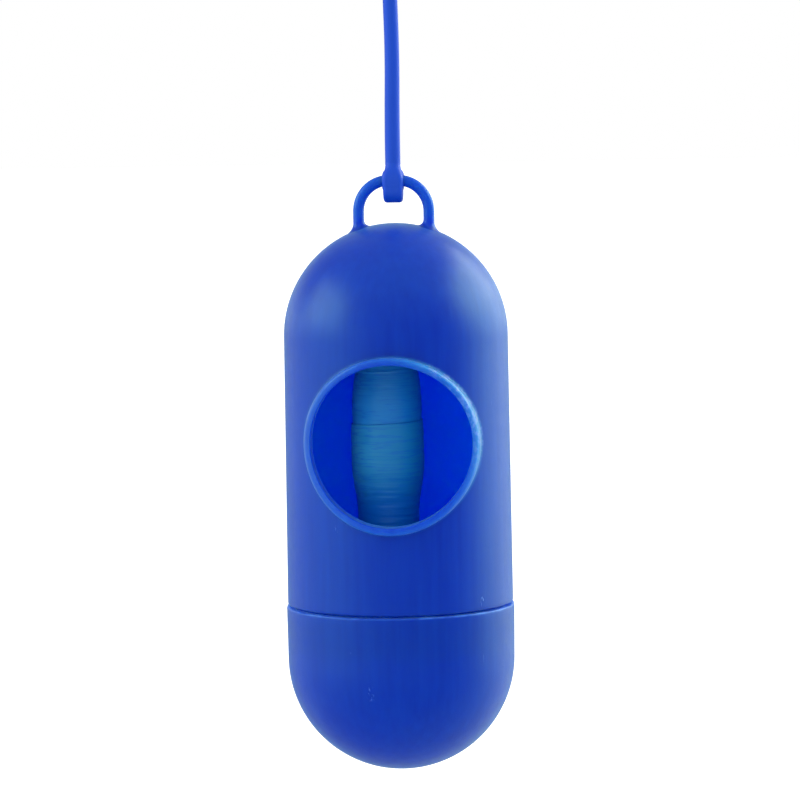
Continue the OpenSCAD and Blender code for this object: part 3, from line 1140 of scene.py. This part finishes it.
    def front_patch(self) -> Patch:
        """The front wall round the window, as rings that run from a rectangle to the window, through it and back.

        The rectangle is one in angle and height on the barrel. A ring between it and the lip is part way between
        the two, t (rectangle) + (1 - t) (circle), and every point lies on the barrel: (R sin a, -R cos a, z).

        Returns:
            The patch.
        """
        low, top = self.patch_z[0], self.patch_z[-1]
        a, z = self.front_angles, self.patch_z
        border = np.concatenate([
            np.stack([a[:-1], 0 * a[:-1] + low], -1), np.stack([0 * z[:-1] + a[-1], z[:-1]], -1),
            np.stack([a[:0:-1], 0 * a[:0:-1] + top], -1), np.stack([0 * z[:0:-1] + a[0], z[:0:-1]], -1)])
        round_it = np.arctan2(border[:, 1] - self.window_z, border[:, 0] * self.seam_r)
        section = self.lip_section()
        x = section[:, :1] * np.cos(round_it)
        height = self.window_z + section[:, :1] * np.sin(round_it)
        over = section[:, 1:]
        wall = self.barrel(height)
        scale = np.where(over > 0, (self.lip_face_r - wall) / (self.lip_face_r - self.seam_r),
                         (wall - self.bore_r) / (self.seam_r - self.bore_r))
        radius = wall + over * scale
        lip = np.stack([x, -np.sqrt(radius**2 - x**2), height], -1)
        outer = self.spread(lip[0], border, self.barrel, 12)
        inner = self.spread(lip[-1], border, lambda at: 0 * at + self.bore_r, 9)
        return Patch(np.concatenate([outer[::-1], lip[1:-1], inner]))

    def spread(self, ring: np.ndarray, border: np.ndarray, radius: Callable, steps: int) -> np.ndarray:
        """Rings on the wall between a ring round the window and the patch's rectangle.

        Args:
            ring: The points of the ring.
            border: The rectangle's points of (angle, height).
            radius: The wall's radius at a height.
            steps: The number of steps between them.

        Returns:
            The rings from the window outwards, as (steps + 1, columns, 3).
        """
        start = np.stack([np.arctan2(ring[:, 0], -ring[:, 1]), ring[:, 2]], -1)
        t = np.linspace(0, 1, steps + 1)[:, None, None] ** 1.4
        at = (1 - t) * start + t * border
        r = radius(at[..., 1])
        return np.stack([r * np.sin(at[..., 0]), -r * np.cos(at[..., 0]), at[..., 1]], -1)

    def bail(self) -> Patch:
        """The bail: a circle carried along bar, bend and leg, whose foot spreads out into the dome.

        One half is worked out from the bar's middle to the foot and mirrored in x. A ring's point is the path's
        point plus r (cos a n + sin a y), where n is the path's outward normal. At the foot the ring's radius grows
        while its height over the dome falls, both along a quarter circle.

        Returns:
            The patch, with its two ends closed inside the dome's wall.
        """
        turn_r = self.leg_x - self.bar_l / 2
        turn_z = self.bar_z - turn_r
        a = np.linspace(0, TURN, 49)[:-1]
        bar = line((0, self.bar_z), (self.bar_l / 2, self.bar_z), 2)
        bend = arc((self.bar_l / 2, turn_z), turn_r, 90, 0, 26)
        path = joined(bar, bend)
        way = np.gradient(path, axis=0)
        way /= np.linalg.norm(way, axis=1, keepdims=True)
        way[:2], way[-1] = (1, 0), (0, -1)
        normal = np.stack([-way[:, 1], way[:, 0]], -1)
        side = self.rod_r * np.cos(a)
        hoop = np.stack([
            path[:, :1] + side * normal[:, :1], 0 * path[:, :1] + self.rod_r * np.sin(a),
            path[:, 1:] + side * normal[:, 1:]], -1)
        turn = np.radians(np.linspace(0, 90, 11))[:, None]
        spread = self.rod_r + self.foot * (1 - np.cos(turn))
        over = self.foot * (1 - np.sin(turn)) - self.foot_bite
        x, y = self.leg_x + spread * np.cos(a), spread * np.sin(a)
        foot = np.stack([x, y, self.dome_z + np.sqrt(self.dome_r**2 - x**2 - y**2) + over], -1)
        sunk = 0.4 * (self.dome_r - self.bore_r)
        root = foot[-1:] - [0, 0, sunk]
        pole = np.repeat(root.mean(axis=1, keepdims=True), len(a), axis=1)
        half = np.concatenate([hoop, foot, root, pole])
        return Patch(np.concatenate([half[:0:-1] * [-1, 1, 1], half]))

    def build(self) -> bpy.types.Object:
        """Builds and dresses the case."""
        shell = [self.crown(), self.hem(), self.vault(), self.front_patch(), *self.back()]
        piece = fused(make_piece("case_shell_moulding", shell), make_piece("bail_rod", [self.bail()]))
        dress(piece, Body.CASE, Slot.CASE, self.skin.build(), "case_shell")
        return piece


@dataclass
class BottomCap:
    """The cap: a skirt and a round end, with a socket that takes the case's neck.

    Attributes:
        skin: Its finish.
        rim_r: Outer radius at the seam.
        ball_r: Outer radius of the round end.
        bowl_r: Inner radius of the round end.
        socket_r: Radius of the socket.
        skirt: From the seam down to the round end's centre.
        socket_h: Depth of the socket below the seam.
        seam_gap: Open line at the seam.
        edge: Radius of the rim's edges.
        gate_r: Radius of the dimple that the mould's gate leaves.
        gate_depth: Depth of that dimple.
        columns: The number of columns round it.
    """

    skin: SatinMoulding
    rim_r: float = 19.5 * MM
    ball_r: float = 19.4 * MM
    bowl_r: float = 17.5 * MM
    socket_r: float = 18.3 * MM
    skirt: float = 9.4 * MM
    socket_h: float = 7.3 * MM
    seam_gap: float = 0.3 * MM
    edge: float = 0.28 * MM
    gate_r: float = 1.1 * MM
    gate_depth: float = 0.14 * MM
    columns: int = 320

    def profile(self) -> np.ndarray:
        """The cap's section from the middle of its bottom round the rim to the middle of its bowl."""
        top = CAP_HIGH.z
        ball = CAP_LOW.z + self.ball_r
        socket = top + self.seam_gap - self.socket_h
        e = self.edge
        gate_angle = math.degrees(math.asin(self.gate_r / self.ball_r))
        skin = arc((0, ball), self.ball_r, -90 + gate_angle, 0, 58)
        dimple = line((0, skin[0, 1]), skin[0], 9)
        share = dimple[:, 0] / self.gate_r
        nub = smooth(0.42, 0.2, share)
        dimple[:, 1] += self.gate_depth * (smooth(1, 0.78, share) - 0.7 * nub)
        return joined(
            dimple, skin,
            line(skin[-1], (self.rim_r, top - e), 14),
            arc((self.rim_r - e, top - e), e, 0, 90, 5),
            line((self.rim_r - e, top), (self.socket_r + e, top), 1),
            arc((self.socket_r + e, top - e), e, 90, 180, 4),
            line((self.socket_r, top - e), (self.socket_r, socket), 10),
            line((self.socket_r, socket), (self.bowl_r, socket), 1),
            line((self.bowl_r, socket), (self.bowl_r, ball), 3),
            arc((0, ball), self.bowl_r, 0, -90, 40))

    def worn_rim(self, grid: np.ndarray, angles: np.ndarray) -> np.ndarray:
        """Makes the rim a little uneven: it dips by smooth noise, and small nicks stand out of its outer edge.

        Args:
            grid: The cap's points.
            angles: Angles of the columns.

        Returns:
            The points, moved by share x noise, where the share rises from 0 to 1 over the rim's last stretch.
        """
        radius = np.hypot(grid[..., 0], grid[..., 1])
        top = CAP_HIGH.z
        share = smooth(top - 1.2 * MM, top - 0.1 * MM, grid[..., 2]) * smooth(self.socket_r, self.rim_r - 0.5 * MM, radius)
        u = angles / TURN
        dip = 0.5 + 0.5 * value_noise(u, 0 * u, (46, 1), 31)
        nick = smooth(0.62, 0.95, value_noise(u, 0 * u, (150, 1), 32))
        grow = 1 + share * (0.05 * MM * nick - 0.03 * MM * dip) / radius.clip(1 * MM)
        return np.stack([grid[..., 0] * grow, grid[..., 1] * grow, grid[..., 2] - 0.09 * MM * share * dip], -1)

    def build(self) -> bpy.types.Object:
        """Builds and dresses the cap."""
        angles = np.linspace(0, TURN, self.columns + 1)[:-1]
        grid = turned(self.profile(), angles)
        grid = self.worn_rim(grid, angles)
        piece = make_piece("bottom_cap_moulding", [Patch(grid)])
        dress(piece, Body.CAP, Slot.CASE, self.skin.build(), "bottom_cap")
        return piece


# Roll of bags


@dataclass
class BagRoll:
    """The roll: a paper core, the wound film, and the first bag's loose turn.

    Attributes:
        film: Finish of the wound film.
        loose: Finish of the loose turn.
        board: Finish of the core.
        core_r: Outer radius of the core.
        core_wall: Wall of the core.
        roll_r: Radius of the wound film.
        wind_gap: Clearance between the core, the film and the loose turn.
        film_t: Thickness of the loose turn's film.
    """

    film: BagFilm
    loose: BagFilm
    board: CoreBoard
    core_r: float = 4.4 * MM
    core_wall: float = 0.8 * MM
    roll_r: float = 6.0 * MM
    wind_gap: float = 0.05 * MM
    film_t: float = 0.05 * MM
    columns: int = 168
    rows: int = 270

    def placed(self, radius: np.ndarray, angle: np.ndarray, z: np.ndarray) -> np.ndarray:
        """Points at a radius and angle round the roll's own axis: (x + r sin a, y - r cos a, z)."""
        x, y, z = np.broadcast_arrays(
            ROLL_AXIS[0] + radius * np.sin(angle), ROLL_AXIS[1] - radius * np.cos(angle), z)
        return np.stack([x, y, z], -1)

    def pinch(self, z: np.ndarray) -> np.ndarray:
        """How much narrower the film is where it is pressed in, in a waist with smooth ends under the window."""
        return 1.0 * MM * smooth(-96.0 * MM, -105.0 * MM, z) * smooth(-125.0 * MM, -112.0 * MM, z)

    def build_core(self) -> bpy.types.Object:
        """Builds the core tube, whose cut ends are a little ragged."""
        low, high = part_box("roll_core")
        angle = np.linspace(0, TURN, 97)[:-1]
        inner = self.core_r - self.core_wall
        e = 0.12 * MM
        profile = joined(
            line((self.core_r, low.z + e), (self.core_r, high.z - e), 40),
            line((self.core_r, high.z - e), (self.core_r - e, high.z), 1),
            line((self.core_r - e, high.z), (inner + e, high.z), 3),
            line((inner + e, high.z), (inner, high.z - e), 1),
            line((inner, high.z - e), (inner, low.z + e), 40),
            line((inner, low.z + e), (inner + e, low.z), 1),
            line((inner + e, low.z), (self.core_r - e, low.z), 3))
        radius, z = profile[:, :1], profile[:, 1:]
        ragged = 0.08 * MM * value_noise(angle / TURN, 0 * angle, (60, 1), 11)
        end = smooth(high.z - 0.3 * MM, high.z, z) - smooth(low.z + 0.3 * MM, low.z, z)
        piece = make_piece("roll_core_tube", [Patch(
            self.placed(radius, angle, z - end * (0.08 * MM + ragged)), round_rows=True)])
        dress(piece, Body.ROLL, Slot.PAPER, self.board.build(), "roll_core")
        return piece

    def build_film(self) -> bpy.types.Object:
        """Builds the wound film: a tube whose side is faintly pleated and whose ends show the edges of its turns.

        The side's radius is the roll's, less a narrowing over the top end and less pleats, which are noise with
        cells that are long round the roll and short along it. An end's height is the roll's, less noise by radius.

        Returns:
            The film's object.
        """
        low, high = ROLL_LOW.z, ROLL_HIGH.z
        angle = np.linspace(0, TURN, self.columns + 1)[:-1]
        u = angle / TURN
        inner = self.core_r + self.wind_gap
        z = np.interp(np.linspace(0, 1, self.rows + 1), [0, 0.25, 1], [low, (low + high) / 2, high])[:, None]
        v = (z - low) / (high - low)
        pleat = 0.5 + 0.5 * value_noise(u, v, (9, 150), 3)
        wave = 0.5 + 0.5 * value_noise(u, v, (5, 14), 4)
        narrow = 0.85 * MM * smooth(high - 9.5 * MM, high - 1.0 * MM, z) * (0.8 + 0.2 * wave)
        fold_z = high - 3.7 * MM + 0.1 * MM * np.sin(3 * angle)
        fold = 0.14 * MM * np.exp(-(((z - fold_z) / (0.16 * MM)) ** 2)) * smooth(0.55, 0.9, np.cos(angle + 0.05))
        side = self.roll_r - self.pinch(z) - narrow - 0.07 * MM * pleat - 0.12 * MM * wave + fold
        share = np.linspace(0, 1, 31)[1:-1, None]
        turns = value_noise(u, share, (4, 24), 5)
        top_r = side[-1:] + (inner - side[-1:]) * share
        top_z = high - (0.3 * MM + 0.26 * MM * turns)
        low_r = inner + (side[:1] - inner) * share
        low_z = low + (0.3 * MM + 0.26 * MM * turns[::-1])
        bore_z = np.linspace(high - 0.3 * MM, low + 0.3 * MM, 30)[:, None]
        radius = np.concatenate([side, top_r, inner + 0 * bore_z * angle, low_r])
        height = np.concatenate([z + 0 * angle, top_z, bore_z + 0 * angle, low_z])
        piece = make_piece("wound_film", [Patch(self.placed(radius, angle, height), round_rows=True)])
        dress(piece, Body.ROLL, Slot.FILM, self.film.build(), "bag_roll")
        return piece

    def build_first_bag(self) -> bpy.types.Object:
        """Builds the first bag's loose turn: a sheet that goes a little more than once round the roll.

        The sheet's radius grows from start to end, so the end lies over the start. Its top edge slants up to the
        right and clings to the roll. Creases are noise with cells long round the roll and short along it, and a few
        wider pleats slant.

        Returns:
            The sheet's object.
        """
        low, high = BAG_LOW.z, BAG_HIGH.z
        inner = self.roll_r + self.wind_gap
        over = 1.12
        turns = np.linspace(0, over, 200)
        start = math.radians(118)
        angle = start + TURN * turns
        rows = 230
        slant = 0.28 * MM * np.sin(angle) * smooth(0, 0.1, turns)
        share = np.linspace(0, 1, rows + 1)[:, None]
        share = np.interp(share, [0, 0.2, 1], [0, 0.55, 1])
        z = low + (high - low - 0.25 * MM + slant) * share
        v = (z - low) / (high - low)
        u = angle / TURN
        crease = 0.5 + 0.5 * value_noise(u, v, (7, 130), 21)
        pleat = 0.5 + 0.5 * value_noise(u + 0.8 * v, v, (6, 34), 22)
        wide = 0.5 + 0.5 * value_noise(u, v, (4, 9), 23)
        lift = 0.03 * MM * turns + 0.10 * MM * smooth(over - 0.05, over, turns)
        cling = smooth(0, -1.6 * MM, z - z[-1:])
        ruck = 0.09 * MM * crease + 0.14 * MM * pleat * wide
        radius = inner + 0.02 * MM - self.pinch(z) + lift + ruck * (0.25 + 0.75 * cling) - 0.05 * MM * (1 - cling)
        piece = make_piece("first_bag_turn", [Patch(self.placed(radius, angle, z), round_columns=False)], closed=False)
        skin = piece.modifiers.new("film", "SOLIDIFY")
        skin.thickness, skin.offset = self.film_t, 0.0
        dress(piece, Body.ROLL, Slot.FILM, self.loose.build(), "first_bag")
        return piece


# Studio


@dataclass(frozen=True)
class Lamp:
    """A soft lamp.

    Attributes:
        name: Its name.
        place: Its place in metres.
        size: Its width and height in metres.
        power: Its power in watts.
    """

    name: str
    place: tuple[float, float, float]
    size: tuple[float, float]
    power: float


@dataclass
class Studio:
    """Camera, lamps, floor and backdrop.

    Attributes:
        frame_px: Width and height of the picture in pixels.
        lens_px: The lens's focal length in pixels of the picture.
        aim: The point on the case's axis that the camera is set by.
        aim_px: Where that point shows in the picture.
        stand: Distance of the camera from the axis, on the level.
        rise: Height of the camera over that point.
        turn: Angle of the camera to the right, in radians.
        roll: How far the object leans in the picture, in radians.
        floor_z: Height of the floor.
        lamps: The soft lamps.
        dark_way: Direction of the room's darkest part.
        open_way: Direction that the most light reaches the window from.
        side_levels: Brightness of the room's left and right sides in glossy surfaces.
        mirror_hue: Hue of the room in glossy surfaces.
    """

    frame_px: int = 800
    lens_px: float = 4704.0
    aim: tuple[float, float, float] = (0.0, 0.0, -97.85 * MM)
    aim_px: tuple[float, float] = (398.3, 470.6)
    stand: float = 0.8
    rise: float = 86.2 * MM
    turn: float = math.radians(4.1)
    roll: float = -0.018
    floor_z: float = -0.30
    lamps: tuple[Lamp, ...] = (
        Lamp("right_softbox", (0.64, 0.31, 0.31), (0.98, 0.45), 4.6),
        Lamp("left_softbox", (-0.72, -0.12, 0.25), (0.7, 0.42), 2.1),
    )
    dark_way: tuple[float, float, float] = (0.44, -0.898, 0.0)
    open_way: tuple[float, float, float] = (-0.3, -0.95, 0.09)
    side_levels: tuple[float, float] = (1.3, 3.35)
    mirror_hue: tuple[float, ...] = (0.85, 1.0, 0.95, 1.0)

    def build_camera(self) -> None:
        """Places the camera so that the aim point shows at its pixel and the object leans as in the picture.

        The camera first looks along the line to the aim point, is rolled about it, and is then turned so that the
        line leaves the picture at the aim's pixel.
        """
        camera = bpy.data.cameras.new("camera")
        camera.sensor_width = 36.0
        camera.lens = 36.0 * self.lens_px / self.frame_px
        camera.clip_start, camera.clip_end = 0.05, 50.0
        eye = Vector(self.aim) + Vector((self.stand * math.sin(self.turn), -self.stand * math.cos(self.turn), self.rise))
        look = (Vector(self.aim) - eye).to_track_quat("-Z", "Y")
        half = self.frame_px / 2
        ray = Vector(((self.aim_px[0] - half) / self.lens_px, (half - self.aim_px[1]) / self.lens_px, -1))
        fit = ray.rotation_difference(Vector((0, 0, -1)))
        holder = bpy.data.objects.new("camera", camera)
        holder.location = eye
        holder.rotation_mode = "QUATERNION"
        holder.rotation_quaternion = look @ Quaternion((0, 0, 1), self.roll) @ fit
        bpy.context.scene.collection.objects.link(holder)
        bpy.context.scene.camera = holder

    def build_lamps(self) -> None:
        """Places the soft lamps, each aimed at the middle of the case."""
        for lamp in self.lamps:
            data = bpy.data.lights.new(lamp.name, "AREA")
            data.shape, data.size, data.size_y = "RECTANGLE", lamp.size[0], lamp.size[1]
            data.energy = lamp.power
            holder = bpy.data.objects.new(lamp.name, data)
            holder.location = lamp.place
            holder.rotation_mode = "QUATERNION"
            holder.rotation_quaternion = (Vector(self.aim) - Vector(lamp.place)).to_track_quat("-Z", "Y")
            holder.visible_camera = False
            bpy.context.scene.collection.objects.link(holder)

    def mirrored(self, bench: Bench, way: Socket, plain: float) -> Socket:
        """Brightness of the room in glossy surfaces: bright at its sides, plain behind, dark on the viewer's side.

        Args:
            bench: The bench to build on.
            way: The direction that is looked at.
            plain: The brightness behind the dispenser.

        Returns:
            The brightness, where 1 is white.
        """
        off = bench.add("VectorMath", {0: way, 1: self.dark_way}, operation="DOT_PRODUCT").outputs["Value"]
        axes = bench.add("SeparateXYZ", {0: way}).outputs
        side = bench.span(axes[0], -0.35, 0.35, *self.side_levels)
        level = bench.math("MULTIPLY_ADD", bench.step(off, 0.85, 0.05), side, 0.01)
        behind = bench.math("MULTIPLY", bench.step(axes[1], 0.74, 0.98), 0.66)
        return bench.math("MULTIPLY_ADD", behind, bench.math("SUBTRACT", plain, level), level)

    def build_world(self) -> None:
        """Lights the room: white to the camera, nearly even as light, and in mirrors dim on the viewer's side."""
        world = bpy.data.worlds.new("room")
        world.use_nodes = True
        world.node_tree.nodes.clear()
        bench = Bench(world.node_tree)
        look = bench.add("TexCoord").outputs["Generated"]
        way = bench.add("SeparateXYZ", {0: look}).outputs
        level = self.mirrored(bench, look, 0.38)
        above = bench.step(way[2], 0.0, 0.42)
        ceiling = bench.span(way[2], 0.42, 0.95, 0.04, 0.36)
        ceiling = bench.math("MULTIPLY_ADD", bench.step(way[1], 0.3, 0.9), 0.3, ceiling)
        level = bench.math("MULTIPLY_ADD", above, bench.math("SUBTRACT", ceiling, level), level)
        opening = bench.add("VectorMath", {0: look, 1: self.open_way}, operation="DOT_PRODUCT").outputs["Value"]
        ahead = bench.math("MULTIPLY_ADD", bench.step(opening, 0.72, 0.96), 0.5, 0.9)
        even = bench.math("MULTIPLY_ADD", level, 0.25, ahead)
        path = bench.add("LightPath").outputs
        level = bench.math("MULTIPLY_ADD", path["Is Glossy Ray"], bench.math("SUBTRACT", level, even), even)
        room = bench.add("CombineXYZ", {0: level, 1: level, 2: level}).outputs[0]
        hue = bench.mixed(path["Is Glossy Ray"], (1, 1, 1, 1), self.mirror_hue)
        room = bench.add("VectorMath", {0: room, 1: hue}, operation="MULTIPLY").outputs[0]
        colour = bench.mixed(path["Is Camera Ray"], room, (1, 1, 1, 1))
        sky = bench.add("Background", {"Color": colour, "Strength": 1.0})
        bench.add("OutputWorld", {"Surface": sky.outputs[0]})
        bpy.context.scene.world = world

    def build_floor(self) -> None:
        """Lays a plain pale floor well below the hanging object."""
        material = bpy.data.materials.new("floor_white")
        material.use_nodes = True
        material.node_tree.nodes.clear()
        bench = Bench(material.node_tree)
        path = bench.add("LightPath").outputs
        grey = bench.mixed(path["Is Glossy Ray"], (0.76, 0.76, 0.76, 1), (0.12, 0.12, 0.12, 1))
        paper = bench.add("BsdfDiffuse", {"Color": grey})
        place = bench.add("TexCoord").outputs["Object"]
        from_case = bench.add("VectorMath", {0: place, 1: self.aim}, operation="SUBTRACT").outputs[0]
        way = bench.add("VectorMath", {0: from_case}, operation="NORMALIZE").outputs[0]
        far_off = bench.span(bench.add("SeparateXYZ", {0: way}).outputs[2], -0.95, -0.05, 0.2, 1.0)
        mirrored = bench.math("MULTIPLY", self.mirrored(bench, way, 0.0), bench.math("MULTIPLY", far_off, 0.4))
        seen = bench.math("MULTIPLY", path["Is Camera Ray"], 0.75)
        seen = bench.math("MULTIPLY_ADD", path["Is Glossy Ray"], mirrored, seen)
        hue = bench.mixed(path["Is Glossy Ray"], (1, 1, 1, 1), self.mirror_hue)
        glow = bench.add("Emission", {"Color": hue, "Strength": seen})
        surface = bench.add("AddShader", {0: paper.outputs[0], 1: glow.outputs[0]})
        bench.add("OutputMaterial", {"Surface": surface.outputs[0]})
        grid = np.linspace(-6, 6, 3)
        x, y = np.meshgrid(grid, grid)
        floor = make_piece("floor", [Patch(np.stack([x, y, 0 * x + self.floor_z], -1), False)], closed=False)
        floor.data.materials.append(material)

    def build(self) -> None:
        """Builds the camera, lamps, world and floor, and sets the view transform."""
        self.build_camera()
        self.build_lamps()
        self.build_world()
        self.build_floor()
        bpy.context.scene.view_settings.view_transform = "Standard"


def main() -> None:
    """Builds the studio and the pieces in order."""
    logging.basicConfig(level=logging.INFO, format="%(message)s")
    Studio().build()
    strap = Strap(SoftMoulding())
    eye, loop = strap.build_eye(), strap.build_loop()
    strap.build_cord(eye, loop)
    # The case's lip, which gets painted light.
    lip = (-91.75 * MM, 13.65 * MM, 14.95 * MM)
    # Heights of the bail's thin rod, which gets painted light.
    bail_z = (CASE_HIGH.z - 8.6 * MM, CASE_HIGH.z - 6.4 * MM)
    spots = ((14.7 * MM, -118.9 * MM, 0.6 * MM), (-9.4 * MM, -105.9 * MM, 0.45 * MM))
    nicks = tuple((x, -math.sqrt(CaseShell.seam_r**2 - x**2), z, radius) for x, z, radius in spots)
    CaseShell(SatinMoulding(
        lip=lip, thin=(0.003, 0.066, 0.39, 1.0), rod_glow_z=bail_z, blemishes=nicks)).build()
    scuff_x, scuff_z = -4.0 * MM, -133.6 * MM
    scuff_y = -math.sqrt(BottomCap.ball_r**2 - (scuff_z - BALL_Z) ** 2 - scuff_x**2)
    scuff = (scuff_x, scuff_y, scuff_z, 0.85 * MM)
    # Heights of the painted highlight along the cap's rim.
    rim = (CAP_HIGH.z - 0.5 * MM, CAP_HIGH.z - 0.12 * MM)
    BottomCap(SatinMoulding(name="cap_plastic", blemishes=(scuff,), rim=rim, parting=False)).build()
    roll = BagRoll(
        BagFilm(),
        # The loose turn's lighter colour is partly painted light on the roll's left.
        BagFilm(
            name="loose_film", colour=(0.006, 0.215, 0.54, 1.0), light=(0.03, 0.32, 0.62, 1.0),
            # Painted shade below these heights.
            painted_shade_z=(-105.0 * MM, -96.0 * MM)),
        CoreBoard())
    roll.build_core()
    roll.build_film()
    roll.build_first_bag()


if __name__ == "__main__":
    main()
